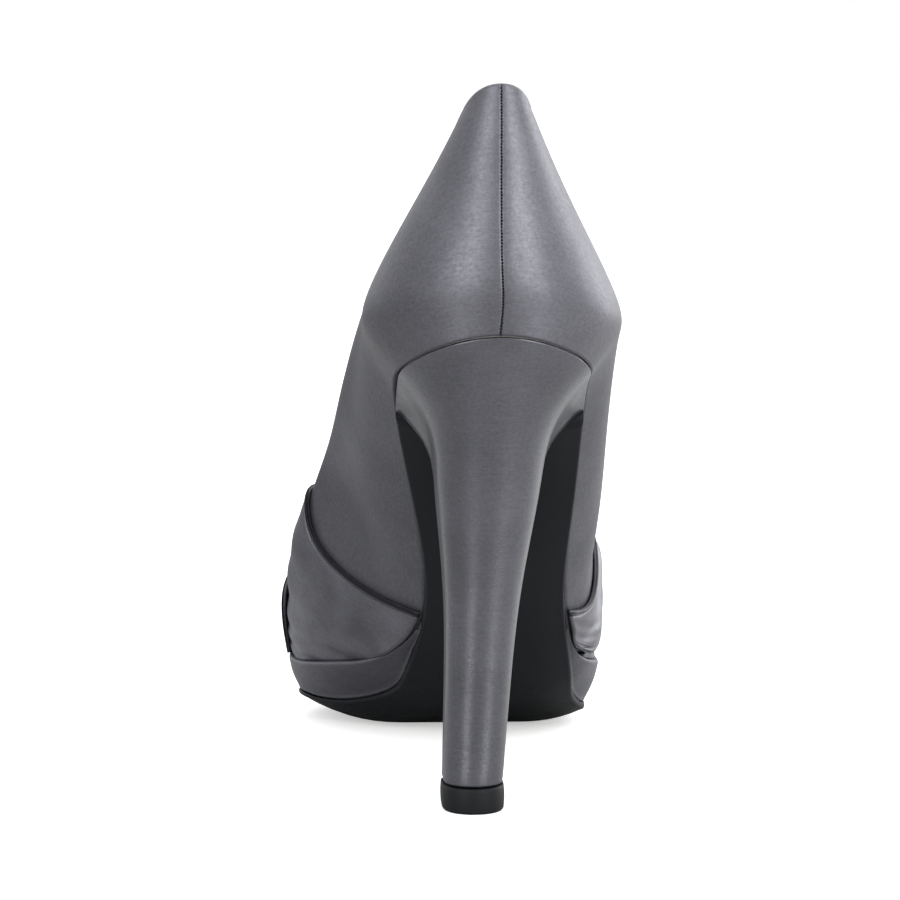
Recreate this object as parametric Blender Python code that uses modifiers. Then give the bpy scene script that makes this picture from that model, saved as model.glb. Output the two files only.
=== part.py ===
"""Right peep toe pump in satin: a high heel, a covered platform and two bands that cross over the vamp.

The upper, the bands and the insole are read from one function of the last. The outsole, the platform and
the heel follow the same feather edge, where the upper ends at the bottom. X runs to the outer side of the
right foot, +Y to the toe and +Z up. The origin is the middle of the top piece's underside.
"""

import math

import bmesh
import bpy
import numpy as np

# Driving sizes, in metres
LENGTH = 0.207  # plan length of the last along the feather edge
BALL_WIDTH = 0.080  # across the ball of the foot
HEEL_HEIGHT = 0.1127  # floor to the feather edge at the back
UPPER_HEIGHT = 0.0563  # feather edge to the topline at the back
PLATFORM_HEIGHT = 0.0102  # covered platform at its side, under the ball
TOE_SPRING = 0.0050
HEEL_ROUND = 0.028  # length over which the back of the last is round in plan
TOE_ROUND = 0.047  # the same at the toe
UPPER_WALL = 0.0018
BAND_WALL = 0.0010
SOLE_THICKNESS = 0.0030
SOLE_EDGE_THINNING = 0.0015  # how much thinner the outsole is at its edge
SOLE_EDGE_LIFT = 0.0048  # rise of the sole's edge over its flat middle, under the ball
SOLE_WEAR = 0.0004  # depth of the flat that the sole stands on
INSOLE_THICKNESS = 0.0016
INSOLE_CLEARANCE = 0.0005  # between the insole and the wall round it
PLATFORM_MARGIN = 0.0024  # how far the platform's top stands out under the bands
TOP_PIECE_HEIGHT = 0.0060
TOP_PIECE_MARGIN = 0.0003  # how far the top piece stands out round the heel
BREAST = 0.046  # back of the last to the front face of the heel
TIP_BACK = 0.0223  # back of the last to the back of the heel's tip
TIP_DEPTH = 0.0160
TIP_WIDTH = 0.0139
TIP_SWING = -0.0050  # the heel leans to the inner side
GAP = 0.00035  # between pieces that meet

BACK_POWER = 2.5  # roundness of the plan at the back
TOE_POWER = 2.5
SOLE_FLAT = 0.46  # share of the sole's half width that is flat
SOLE_FLAT_SWING = 0.06  # how far the flat lies to the outer side, as a share of the half width
SOLE_EDGE_POWER = 2.2  # how late the sole's edge turns up
SOLE_NARROW_POWER = 1.5  # how much less it turns up where the sole is narrow

# Sections of the last, one row a station. Shares of LENGTH along, of the heel's rise, of BALL_WIDTH across and of
# UPPER_HEIGHT up. A ring's lean is how far forward of the feather edge it lies, its swing is how far its middle
# lies to the outer side, and its half is half its width.
STATIONS = (0, 0.106, 0.217, 0.338, 0.435, 0.502, 0.570, 0.643, 0.710, 0.773, 0.870, 1)
RISE = (1, 0.901, 0.798, 0.528, 0.299, 0.158, 0.064, 0.027, 0.006, 0, 0, 0)
SPRING = (0, 0, 0, 0, 0, 0, 0, 0, 0, 0, 0.12, 1)
FEATHER = (  # swing, half
    (-0.006, 0.278), (-0.006, 0.281), (-0.005, 0.278), (0.025, 0.240), (0.043, 0.216), (0.044, 0.239),
    (0.015, 0.306), (-0.022, 0.388), (-0.060, 0.453), (-0.079, 0.475), (-0.098, 0.452), (-0.112, 0.425),
)
LOWER = (  # lean, lift, swing, half
    (-0.010, 0.120, 0, 0.320), (0.012, 0.115, -0.005, 0.342), (0.019, 0.105, 0, 0.345),
    (0.024, 0.135, 0.008, 0.340), (0.029, 0.155, 0.024, 0.326), (0.029, 0.150, 0.025, 0.325),
    (0.024, 0.135, -0.012, 0.381), (0.019, 0.115, -0.054, 0.438), (0.012, 0.100, -0.077, 0.476),
    (0.007, 0.085, -0.083, 0.483), (0.005, 0.085, -0.100, 0.458), (0.005, 0.070, -0.112, 0.432),
)
BULGE = (  # lean, lift, swing, half
    (-0.014, 0.320, -0.004, 0.355), (0.039, 0.270, -0.010, 0.370), (0.053, 0.265, 0, 0.378),
    (0.068, 0.380, -0.012, 0.394), (0.072, 0.495, -0.022, 0.404), (0.082, 0.580, -0.040, 0.418),
    (0.068, 0.510, -0.074, 0.456), (0.048, 0.380, -0.090, 0.482), (0.034, 0.290, -0.088, 0.489),
    (0.019, 0.230, -0.085, 0.480), (0.010, 0.195, -0.100, 0.442), (0.002, 0.150, -0.112, 0.412),
)
SHOULDER = (  # lean, lift, swing, half
    (0.039, 1, 0.002, 0.162), (0.063, 0.830, -0.009, 0.155), (0.072, 0.600, -0.012, 0.292),
    (0.077, 0.690, -0.024, 0.350), (0.082, 0.790, -0.032, 0.365), (0.094, 0.750, -0.048, 0.350),
    (0.092, 0.665, -0.062, 0.350), (0.077, 0.545, -0.070, 0.360), (0.060, 0.455, -0.076, 0.364),
    (0.039, 0.400, -0.085, 0.356), (0.019, 0.320, -0.104, 0.330), (-0.014, 0.230, -0.119, 0.310),
)
CROWN = (  # lean, lift, swing
    (0.068, 1.105, -0.006), (0.111, 1.090, -0.015), (0.145, 1.000, -0.019), (0.174, 1.060, -0.031),
    (0.188, 1.030, -0.044), (0.182, 0.930, -0.050), (0.157, 0.810, -0.056), (0.118, 0.685, -0.062),
    (0.084, 0.585, -0.069), (0.058, 0.510, -0.081), (0.029, 0.400, -0.104), (-0.039, 0.250, -0.119),
)
RING_HEIGHTS = (0, 0.12, 0.32, 0.65, 1)  # where the rings lie up the wall, as shares of its girth
TOPLINE = RING_HEIGHTS[3]

# Outline of the sole, one row a station: swing and half as shares of BALL_WIDTH
SOLE = (
    (-0.006, 0.278), (-0.006, 0.281), (-0.005, 0.278), (0.025, 0.238), (0.043, 0.214), (0.048, 0.232),
    (0.043, 0.264), (0.025, 0.304), (-0.030, 0.405), (-0.080, 0.461), (-0.098, 0.438), (-0.112, 0.410),
)

# The platform's wedge, in shares of LENGTH: where it begins under the covering, where it is thick enough to be a
# piece, and where it is full
PLATFORM_START = 0.473
PLATFORM_REAR = 0.503
PLATFORM_FULL = 0.715
PLATFORM_FLARE = 0.12  # length of its rear in which its top comes to stand out
SOLE_DIP_START = 0.018  # where the outsole begins to make room for it, ahead of its rear edge
SOLE_DIP = 0.016  # length in which it does
PLATFORM_LEAST = 0.0006  # the platform's thickness at its rear edge

# Places along the last, as shares of the way from its back to its toe round the feather edge
THROAT = 0.552
THROAT_START = 0.400  # where the topline leaves the shoulder ring
THROAT_FOOT = 0.600  # where the wall under the throat meets the feather edge
TOE_OPENING_FOOT = 0.900
TOE_OPENING_RIDGE = 0.860
SOLE_TOE = 0.992  # the outsole and the platform end just short of the toe point, with a small flat
INSOLE_HEEL = 0.03
INSOLE_TOE = 0.965

# Edges of the bands, one row a place across the vamp, from the inner feather edge at -1 to the outer at 1
BAND_ACROSS = (-1, -0.90, -0.80, -0.70, -0.60, -0.35, 0, 0.40, 0.65, 0.85, 1)
UNDER_BACK = (0.486, 0.501, 0.523, 0.534, 0.528, 0.538, 0.580, 0.597, 0.586, 0.570, 0.550)
UNDER_FRONT = (0.750, 0.758, 0.766, 0.775, 0.786, 0.818, 0.845, 0.862, 0.870, 0.875, 0.880)
OVER_BACK = (0.705, 0.683, 0.664, 0.649, 0.638, 0.621, 0.602, 0.578, 0.555, 0.519, 0.484)
OVER_FRONT = (0.883, 0.878, 0.872, 0.864, 0.855, 0.830, 0.800, 0.740, 0.690, 0.640, 0.530)
UNDER_END = 0.965  # how near the feather edge the bands reach
OVER_END = 0.945
BAND_CLEARANCE = 0.0004  # between a band and what it lies on
BAND_STEP = 0.020  # length of the over band's step down from the under band, in the way along the last
BAND_STEP_START = 1.25  # how far from the under band's edge the step ends, in steps

# Sections of the heel from the tip up: share of its height, swing and half width as shares from the tip to the
# seat, how far the back and the breast have moved from the tip to the seat, and the breast's hollow as a share of
# the tip's depth
HEEL_SECTIONS = (
    (0, 0, 0, 0, 0, 0.07), (0.20, 0.195, 0.036, 0.030, 0.020, 0.08), (0.50, 0.508, 0.142, 0.170, 0.120, 0.09),
    (0.745, 0.763, 0.335, 0.430, 0.340, 0.08), (0.90, 0.898, 0.560, 0.740, 0.700, 0.05), (1, 1, 1, 1, 1, 0),
)
HEEL_ROUND_SHARE = HEEL_ROUND / BREAST  # share of a heel section's depth that is round
HEEL_ROUND_TURNS = 0.8  # share of its side's points that lie there
HEEL_LEVEL_POWER = 1.35  # how much closer the sections lie towards the seat

QUARTER_COLUMNS = 24
VAMP_COLUMNS = 12
WALL_ROWS = 12
BAND_GRID = (34, 12)  # steps over the vamp and along it
WAIST_ROWS = 10
FOREFOOT_ROWS = 24
SOLE_COLUMNS = 12
INSOLE_ROWS = 26
INSOLE_COLUMNS = 8
HEEL_LEVELS = 12
HEEL_SIDE_POINTS = 11
HEEL_BREAST_POINTS = 3

SATIN = (0.235, 0.235, 0.262)
SOLE_BLACK = (0.012, 0.013, 0.015)
LINING = (0.30, 0.29, 0.28)

TIP_MIDDLE = np.array((TIP_SWING, TIP_BACK + TIP_DEPTH / 2, 0))


def spline_weights(knots, at, flat_ends=(True, True)):
    """Weights on the knots' values of the smooth cubic through them, at each of the places asked for."""
    knots = np.asarray(knots, float)
    at = np.clip(np.atleast_1d(np.asarray(at, float)), knots[0], knots[-1])
    n = len(knots)
    h = np.diff(knots)
    left, right = np.zeros((n, n)), np.zeros((n, n))
    for i in range(1, n - 1):
        left[i, i - 1:i + 2] = h[i - 1], 2 * (h[i - 1] + h[i]), h[i]
        right[i, i - 1:i + 2] = 6 / h[i - 1], -6 / h[i - 1] - 6 / h[i], 6 / h[i]
    for row, near, step, flat in ((0, 1, h[0], flat_ends[0]), (n - 1, n - 2, h[-1], flat_ends[1])):
        left[row, row] = 2 * step if flat else 1
        if flat:
            left[row, near] = step
            right[row, row], right[row, near] = -6 / step, 6 / step
    bend = np.linalg.solve(left, right)
    i = np.clip(np.searchsorted(knots, at, side="right") - 1, 0, n - 2)
    a = (knots[i + 1] - at) / h[i]
    b = 1 - a
    weights = np.zeros((len(at), n))
    rows = np.arange(len(at))
    weights[rows, i] += a
    weights[rows, i + 1] += b
    weights += ((a**3 - a) * h[i] ** 2 / 6)[:, None] * bend[i]
    weights += ((b**3 - b) * h[i] ** 2 / 6)[:, None] * bend[i + 1]
    return weights


def along(s):
    """Distance along the foot of the feather edge at s, as a share of LENGTH."""
    return (1 - np.cos(np.pi * np.asarray(s, float))) / 2


def place(share):
    """The s of a share of LENGTH."""
    return np.arccos(1 - 2 * np.asarray(share, float)) / np.pi


def smooth_step(x):
    x = np.clip(x, 0, 1)
    return x * x * (3 - 2 * x)


def end_round(s):
    """Share of the full width that the plan has at s: less than 1 where the heel and the toe are round."""
    y = LENGTH * along(s)
    back = 1 - np.clip(1 - y / HEEL_ROUND, 0, 1) ** BACK_POWER
    toe = 1 - np.clip(1 - (LENGTH - y) / TOE_ROUND, 0, 1) ** TOE_POWER
    return np.sqrt(back * toe)


STATION_PLACES = place(STATIONS)


def edge_shape(u):
    """How far up its edge's lift the sole is, across the half width: 0 over its flat middle."""
    return (np.maximum(np.abs(u - SOLE_FLAT_SWING) - SOLE_FLAT, 0) / (1 - SOLE_FLAT)) ** SOLE_EDGE_POWER


def stations(table, s):
    """The table's columns at s."""
    return (spline_weights(STATION_PLACES, s) @ np.asarray(table, float)).T


def sole_edge_lift(s):
    """Rise of the sole's edge over its middle, less where the sole is narrow."""
    return SOLE_EDGE_LIFT * (stations(SOLE, s)[1] / max(half for swing, half in SOLE)) ** SOLE_NARROW_POWER


def slope(s):
    """How much longer the sole is along the arch than in plan."""
    step = 1e-3
    low, high = np.clip(s - step, 0.05, 0.95), np.clip(s + step, 0.05, 0.95)
    climb = rise_at(high) - rise_at(low)
    run = LENGTH * (along(high) - along(low))
    return np.sqrt(1 + (climb * (HEEL_HEIGHT - FOREFOOT_HEIGHT) / np.maximum(run, 1e-6)) ** 2)


def rise_at(s):
    return stations(np.array(RISE)[:, None], s)[0]


FOREFOOT_HEIGHT = 2 * GAP + PLATFORM_HEIGHT + SOLE_THICKNESS + SOLE_EDGE_LIFT - SOLE_EDGE_THINNING


def feather_height(s):
    spring = stations(np.array(SPRING)[:, None], s)[0]
    return FOREFOOT_HEIGHT + rise_at(s) * (HEEL_HEIGHT - FOREFOOT_HEIGHT) + TOE_SPRING * spring


def seat_height(y):
    """Height of what stands or lies under the feather edge, at a distance along the foot."""
    s = place(np.clip(y, 0, LENGTH) / LENGTH)
    return feather_height(s.ravel()).reshape(s.shape) - GAP


def last_rings(s, side):
    """The five rings at s: arrays of x, y and z, ring by ring. side is -1 inside and 1 outside."""
    round_share = end_round(s)
    base_y = LENGTH * along(s)
    base_z = feather_height(s)
    swing, half = stations(FEATHER, s)
    rings = [(BALL_WIDTH * (swing + side * half * round_share), base_y, base_z)]
    for table in (LOWER, BULGE, SHOULDER):
        lean, lift, swing, half = stations(table, s)
        x = BALL_WIDTH * (swing + side * half * round_share)
        rings.append((x, base_y + LENGTH * lean, base_z + UPPER_HEIGHT * lift))
    lean, lift, swing = stations(CROWN, s)
    rings.append((BALL_WIDTH * swing, base_y + LENGTH * lean, base_z + UPPER_HEIGHT * lift))
    return np.array(rings)


def last(g, s):
    """Outside of the upper. g runs from -1 at the inner feather edge over the ridge at 0 to 1 at the outer one, and
    s from the back to the toe."""
    g, s = np.broadcast_arrays(np.asarray(g, float), np.asarray(s, float))
    shape = g.shape
    g, s = np.clip(g.ravel(), -1, 1), np.clip(s.ravel(), 0, 1)
    side = np.where(g < 0, -1.0, 1.0)
    up = 1 - np.abs(g)
    rings = last_rings(s, side)
    across = spline_weights(RING_HEIGHTS, up, (False, False)).T
    level = spline_weights(RING_HEIGHTS, up, (False, True)).T
    point = np.stack([(across * rings[:, 0]).sum(0), (level * rings[:, 1]).sum(0), (level * rings[:, 2]).sum(0)], -1)
    return point.reshape(shape + (3,))


def last_normal(g, s):
    """Unit normal of the last, pointing out."""
    step = 1e-3
    g, s = np.broadcast_arrays(np.asarray(g, float), np.asarray(s, float))
    over = last(np.clip(g + step, -1, 1), s) - last(np.clip(g - step, -1, 1), s)
    on = last(g, np.clip(s + step, 0, 1)) - last(g, np.clip(s - step, 0, 1))
    normal = np.cross(over, on)
    return normal / np.linalg.norm(normal, axis=-1, keepdims=True)


def offset_last(g, s, height):
    return last(g, s) + last_normal(g, s) * np.asarray(height)[..., None]


def plan_outline(table, s, side, margin=0.0):
    """Outline in plan of a table of swing and half, moved out by a margin. Returns x and y."""
    def point(at):
        swing, half = stations(table, at)
        return BALL_WIDTH * (swing + side * half * end_round(at)), LENGTH * along(at)
    step = 1e-3
    x, y = point(s)
    x_on, y_on = point(np.clip(s + step, 0, 1))
    x_back, y_back = point(np.clip(s - step, 0, 1))
    dx, dy = x_on - x_back, y_on - y_back
    size = np.hypot(dx, dy)
    return x + side * margin * dy / size, y - side * margin * dx / size


def across_rows(table, s_rows, columns, margin):
    """Rows from the inner to the outer edge of an outline: x and y as arrays of rows and columns, and the share of
    the half width at each column."""
    u = np.linspace(-1, 1, columns + 1)
    inner = plan_outline(table, s_rows, -1, margin)
    outer = plan_outline(table, s_rows, 1, margin)
    blend = (u + 1) / 2
    x = inner[0][:, None] * (1 - blend) + outer[0][:, None] * blend
    y = inner[1][:, None] * (1 - blend) + outer[1][:, None] * blend
    return x, y, np.broadcast_to(u, x.shape)


def platform_share(s):
    return smooth_step((along(s) - PLATFORM_START) / (PLATFORM_FULL - PLATFORM_START))


def sole_underside(s):
    """Height of the middle of the outsole's underside."""
    free = feather_height(s) - GAP - SOLE_THICKNESS * slope(s) - sole_edge_lift(s) + SOLE_EDGE_THINNING
    return np.maximum(free - (PLATFORM_HEIGHT + GAP) * platform_share(s) - SOLE_WEAR, 0)


def sole_top(s, u):
    """Top of the outsole: under the upper in the waist, under the platform in the forefoot."""
    s = s[:, None]
    full = sole_underside(s.ravel()) + SOLE_THICKNESS * slope(s.ravel())
    lift = (sole_edge_lift(s.ravel()) - SOLE_EDGE_THINNING * platform_share(s.ravel()))[:, None]
    free = full[:, None] + lift * edge_shape(u)
    under_platform = smooth_step((along(s) - PLATFORM_REAR + SOLE_DIP_START) / SOLE_DIP)
    ceiling = feather_height(s.ravel())[:, None] - GAP - (PLATFORM_LEAST + GAP) * under_platform
    return np.minimum(free, ceiling)


def grid_faces(count, rows, columns):
    """Quads of a grid of vertices that starts at number count."""
    for i in range(rows - 1):
        for j in range(columns - 1):
            a = count + i * columns + j
            yield a, a + 1, a + columns + 1, a + columns


def collection(name):
    found = bpy.data.collections.new(name)
    bpy.context.scene.collection.children.link(found)
    return found


def material(name, colour, roughness):
    made = bpy.data.materials.new(name)
    made.use_nodes = True
    shader = made.node_tree.nodes["Principled BSDF"]
    shader.inputs["Base Color"].default_value = (*colour, 1)
    shader.inputs["Roughness"].default_value = roughness
    return made


def add_object(name, points, faces, surface, home):
    """A mesh object whose normals point out, with points given in the last's frame."""
    mesh = bpy.data.meshes.new(name)
    mesh.from_pydata([tuple(p) for p in np.asarray(points) - TIP_MIDDLE], [], [tuple(f) for f in faces])
    work = bmesh.new()
    work.from_mesh(mesh)
    bmesh.ops.remove_doubles(work, verts=work.verts, dist=1e-6)
    bmesh.ops.recalc_face_normals(work, faces=work.faces)
    work.to_mesh(mesh)
    work.free()
    mesh.shade_smooth()
    mesh.set_sharp_from_angle(angle=math.radians(40))
    mesh.materials.append(surface)
    item = bpy.data.objects.new(name, mesh)
    home.objects.link(item)
    return item


def add_slab(name, top, bottom, surface, home):
    """A closed body between two grids of the same size."""
    rows, columns = top.shape[:2]
    count = rows * columns
    points = np.concatenate([top.reshape(-1, 3), bottom.reshape(-1, 3)])
    faces = list(grid_faces(0, rows, columns))
    faces += [face[::-1] for face in grid_faces(count, rows, columns)]
    number = np.arange(count).reshape(rows, columns)
    rim = [*number[0, :-1], *number[:-1, -1], *number[-1, :0:-1], *number[:0:-1, 0]]
    for a, b in zip(rim, rim[1:] + rim[:1]):
        faces.append((b, a, a + count, b + count))
    return add_object(name, points, faces, surface, home)


def add_shell(name, sides, thickness, offset, surface, home):
    """An open surface of one or more grids with Solidify. offset is 1 to thicken outwards and -1 inwards."""
    points, faces = [], []
    for grid, flip in sides:
        rows, columns = grid.shape[:2]
        faces += [face[::-1] if flip else face for face in grid_faces(len(points), rows, columns)]
        points += list(grid.reshape(-1, 3))
    item = add_object(name, points, faces, surface, home)
    shell = item.modifiers.new("wall", "SOLIDIFY")
    shell.thickness = thickness
    shell.offset = offset
    shell.use_even_offset = True
    shell.use_quality_normals = True
    return item


def topline(t):
    """The collar's edge, from the back at 0 to the throat at 1: its s and how far up the wall it is."""
    s = THROAT * np.sin(np.pi / 2 * t)
    turn = np.clip((s - THROAT_START) / (THROAT - THROAT_START), 0, 1)
    return s, TOPLINE + (1 - TOPLINE) * (1 - np.sqrt(1 - turn**2))


def upper_side(side, quarter_columns, vamp_columns, rows):
    """The g and s of a grid over one side of the upper, a row for each column of the wall."""
    t = np.linspace(0, 1, quarter_columns + 1)
    collar_s, collar_up = topline(t)
    v = np.linspace(0, 1, vamp_columns + 1)[1:]
    head_s = np.concatenate([collar_s, THROAT + (TOE_OPENING_RIDGE - THROAT) * v])
    head_up = np.concatenate([collar_up, np.ones(vamp_columns)])
    foot_s = np.concatenate([THROAT_FOOT * t, THROAT_FOOT + (TOE_OPENING_FOOT - THROAT_FOOT) * v])
    w = np.linspace(0, 1, rows + 1)
    ease = w * (2 - w)
    s = foot_s[:, None] * (1 - ease) + head_s[:, None] * ease
    up = head_up[:, None] * w
    return side * (1 - up), s


def make_upper(surface, home):
    sides = []
    for side in (-1, 1):
        g, s = upper_side(side, QUARTER_COLUMNS, VAMP_COLUMNS, WALL_ROWS)
        sides.append((last(g, s), side > 0))
    return add_shell("upper", sides, UPPER_WALL, -1, surface, home)


def band_edge(table, g):
    return spline_weights(BAND_ACROSS, g, (False, False)) @ np.asarray(table, float)


def band_grid(back, front, end, across, on):
    """The g and s of a band's grid, from its inner end to its outer one."""
    g = np.linspace(-end, end, across + 1)
    w = np.linspace(0, 1, on + 1)
    s = band_edge(back, g)[:, None] * (1 - w) + band_edge(front, g)[:, None] * w
    return np.broadcast_to(g[:, None], s.shape), s


def over_lift(g, s):
    """Height of the over band's inside above the upper: it lies on the under band, and steps down beyond it."""
    flat = g.ravel()
    behind = (s - band_edge(UNDER_BACK, flat).reshape(s.shape)) / BAND_STEP + BAND_STEP_START
    ahead = (band_edge(UNDER_FRONT, flat).reshape(s.shape) - s) / BAND_STEP + BAND_STEP_START
    return BAND_CLEARANCE + (BAND_WALL + BAND_CLEARANCE) * smooth_step(behind) * smooth_step(ahead)


def make_bands(surface, home):
    g, s = band_grid(UNDER_BACK, UNDER_FRONT, UNDER_END, *BAND_GRID)
    inside = offset_last(g, s, np.full(g.shape, BAND_CLEARANCE))
    add_shell("band_under", [(inside, False)], BAND_WALL, 1, surface, home)
    g, s = band_grid(OVER_BACK, OVER_FRONT, OVER_END, *BAND_GRID)
    inside = offset_last(g, s, over_lift(g, s))
    add_shell("band_over", [(inside, False)], BAND_WALL, 1, surface, home)


def make_insole(surface, home):
    s = np.linspace(INSOLE_HEEL, INSOLE_TOE, INSOLE_ROWS + 1)
    x, y, u = across_rows(FEATHER, s, INSOLE_COLUMNS, -(UPPER_WALL + INSOLE_CLEARANCE))
    bottom = np.stack([x, y, seat_height(y) + GAP], -1)
    top = bottom + np.array((0, 0, INSOLE_THICKNESS))
    return add_slab("insole", top, bottom, surface, home)


def sole_places():
    """The s of the outsole's rows behind the platform's rear edge, and of the rows that both pieces share."""
    breast = place((BREAST + GAP) / LENGTH)
    rear = place(PLATFORM_REAR)
    return np.linspace(breast, rear, WAIST_ROWS + 1)[:-1], np.linspace(rear, SOLE_TOE, FOREFOOT_ROWS + 1)


def make_outsole(surface, home):
    s = np.concatenate(sole_places())
    x, y, u = across_rows(SOLE, s, SOLE_COLUMNS, 0)
    under = sole_underside(s)[:, None] + sole_edge_lift(s)[:, None] * edge_shape(u)
    top = sole_top(s, u)
    return add_slab("outsole", np.stack([x, y, top], -1), np.stack([x, y, under], -1), surface, home)


def make_platform(surface, home):
    s = sole_places()[1]
    margin = PLATFORM_MARGIN * smooth_step((along(s) - PLATFORM_REAR) / PLATFORM_FLARE)
    top_x, top_y, u = across_rows(FEATHER, s, SOLE_COLUMNS, margin)
    low_x, low_y, u = across_rows(SOLE, s, SOLE_COLUMNS, 0)
    top_z = seat_height(top_y)
    low_z = sole_top(s, u) + GAP
    return add_slab("platform", np.stack([top_x, top_y, top_z], -1), np.stack([low_x, low_y, low_z], -1), surface, home)


def heel_section(level):
    """One ring of the heel in plan, from the inner breast corner round the back to the outer one, then back
    along the breast."""
    columns = np.asarray(HEEL_SECTIONS, float)
    swing, half, back, breast, hollow = spline_weights(columns[:, 0], level, (False, False))[0] @ columns[:, 1:]
    seat_swing, seat_half = BALL_WIDTH * stations(FEATHER, place(BREAST / LENGTH))[:, 0]
    half_width = TIP_WIDTH / 2 * (1 - half) + seat_half * half
    middle = TIP_SWING * (1 - swing) + seat_swing * swing
    back_y = TIP_BACK * (1 - back)
    breast_y = (TIP_BACK + TIP_DEPTH) * (1 - breast) + BREAST * breast
    depth = (breast_y - back_y) * HEEL_ROUND_SHARE
    turns = np.linspace(0, 1, HEEL_SIDE_POINTS + 1)
    bend = np.clip(turns / HEEL_ROUND_TURNS, 0, 1) * np.pi / 2
    y = back_y + depth * (1 - np.cos(bend) ** (2 / BACK_POWER))
    y += np.clip((turns - HEEL_ROUND_TURNS) / (1 - HEEL_ROUND_TURNS), 0, 1) * (breast_y - back_y - depth)
    x = half_width * np.sin(bend)
    ring = [(middle - a, b) for a, b in zip(x[::-1], y[::-1])] + [(middle + a, b) for a, b in zip(x[1:], y[1:])]
    for i in range(1, HEEL_BREAST_POINTS + 1):
        w = i / (HEEL_BREAST_POINTS + 1)
        ring.append((middle + half_width * (1 - 2 * w), breast_y - TIP_DEPTH * hollow * math.sin(math.pi * w)))
    return np.array(ring)


def add_stack(name, rings, surface, home):
    """A closed body through rings of points, each ring in the order of heel_section."""
    size = len(rings[0])
    points = np.concatenate(rings)
    faces = []
    for level in range(len(rings) - 1):
        for i in range(size):
            j = (i + 1) % size
            faces.append((level * size + i, level * size + j, (level + 1) * size + j, (level + 1) * size + i))
    back = HEEL_SIDE_POINTS
    for base in (0, (len(rings) - 1) * size):
        faces.append((base + back - 1, base + back, base + back + 1))
        for i in range(1, back):
            faces.append((base + back - i, base + back + i, base + back + i + 1, base + back - i - 1))
        faces.append((base, *range(base + 2 * back, base + size)))
    return add_object(name, points, faces, surface, home)


def make_heel(surface, home):
    foot = TOP_PIECE_HEIGHT + GAP
    rings = []
    for level in 1 - (1 - np.linspace(0, 1, HEEL_LEVELS + 1)) ** HEEL_LEVEL_POWER:
        plan = heel_section(level)
        z = foot + level * (seat_height(plan[:, 1]) - foot)
        rings.append(np.column_stack([plan, z]))
    return add_stack("heel", rings, surface, home)


def make_top_piece(surface, home):
    plan = heel_section(0)
    middle = plan.mean(0)
    reach = np.linalg.norm(plan - middle, axis=1, keepdims=True)
    wide = plan + (plan - middle) / reach * TOP_PIECE_MARGIN
    rings = [np.column_stack([wide, np.full(len(plan), z)]) for z in (0, TOP_PIECE_HEIGHT)]
    return add_stack("top_piece", rings, surface, home)


def main():
    for item in list(bpy.data.objects):
        bpy.data.objects.remove(item, do_unlink=True)
    home = collection("peep_toe_pump")
    make_upper(material("upper_satin", SATIN, 0.42), home)
    make_bands(material("band_satin", SATIN, 0.42), home)
    make_insole(material("insole_lining", LINING, 0.7), home)
    make_outsole(material("outsole_black", SOLE_BLACK, 0.45), home)
    make_platform(material("platform_satin", SATIN, 0.42), home)
    make_heel(material("heel_satin", SATIN, 0.42), home)
    make_top_piece(material("top_piece_black", SOLE_BLACK, 0.5), home)


main()
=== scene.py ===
"""Looks of the right peep toe pump: satin upper, crossed bands, covered heel and platform, black sole.

The shapes are read from the same functions and sizes as the solids, on a finer grid."""

import math

import bpy
import numpy as np
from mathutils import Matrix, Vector
from mathutils.kdtree import KDTree


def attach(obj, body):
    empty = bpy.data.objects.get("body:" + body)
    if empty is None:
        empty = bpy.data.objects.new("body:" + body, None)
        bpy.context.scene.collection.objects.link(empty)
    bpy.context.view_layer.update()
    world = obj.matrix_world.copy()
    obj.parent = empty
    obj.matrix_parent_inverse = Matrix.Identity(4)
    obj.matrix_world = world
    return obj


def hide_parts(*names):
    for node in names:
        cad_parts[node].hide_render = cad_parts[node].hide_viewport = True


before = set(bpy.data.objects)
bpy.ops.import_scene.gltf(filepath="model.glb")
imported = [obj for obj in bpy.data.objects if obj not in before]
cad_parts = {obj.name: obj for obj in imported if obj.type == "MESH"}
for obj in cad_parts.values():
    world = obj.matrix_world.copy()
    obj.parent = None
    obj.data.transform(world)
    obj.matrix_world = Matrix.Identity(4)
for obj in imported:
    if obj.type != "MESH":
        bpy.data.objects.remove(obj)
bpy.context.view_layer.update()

# Driving sizes, in metres
LENGTH = 0.207  # plan length of the last along the feather edge
BALL_WIDTH = 0.080  # across the ball of the foot
HEEL_HEIGHT = 0.1127  # floor to the feather edge at the back
UPPER_HEIGHT = 0.0563  # feather edge to the topline at the back
PLATFORM_HEIGHT = 0.0102  # covered platform at its side, under the ball
TOE_SPRING = 0.0050
HEEL_ROUND = 0.028  # length over which the back of the last is round in plan
TOE_ROUND = 0.047  # the same at the toe
BAND_WALL = 0.0010
SOLE_THICKNESS = 0.0030
SOLE_EDGE_THINNING = 0.0015  # how much thinner the outsole is at its edge
SOLE_EDGE_LIFT = 0.0048  # rise of the sole's edge over its flat middle, under the ball
SOLE_WEAR = 0.0004  # depth of the flat that the sole stands on
INSOLE_THICKNESS = 0.0016
PLATFORM_MARGIN = 0.0024  # how far the platform's top stands out under the bands
TOP_PIECE_HEIGHT = 0.0060
TOP_PIECE_MARGIN = 0.0003  # how far the top piece stands out round the heel
BREAST = 0.046  # back of the last to the front face of the heel
TIP_BACK = 0.0223  # back of the last to the back of the heel's tip
TIP_DEPTH = 0.0160
TIP_WIDTH = 0.0139
TIP_SWING = -0.0050  # the heel leans to the inner side
GAP = 0.00035  # between pieces that meet

BACK_POWER = 2.5  # roundness of the plan at the back
TOE_POWER = 2.5
SOLE_FLAT = 0.46  # share of the sole's half width that is flat
SOLE_FLAT_SWING = 0.06  # how far the flat lies to the outer side, as a share of the half width
SOLE_EDGE_POWER = 2.2  # how late the sole's edge turns up
SOLE_NARROW_POWER = 1.5  # how much less it turns up where the sole is narrow

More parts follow.
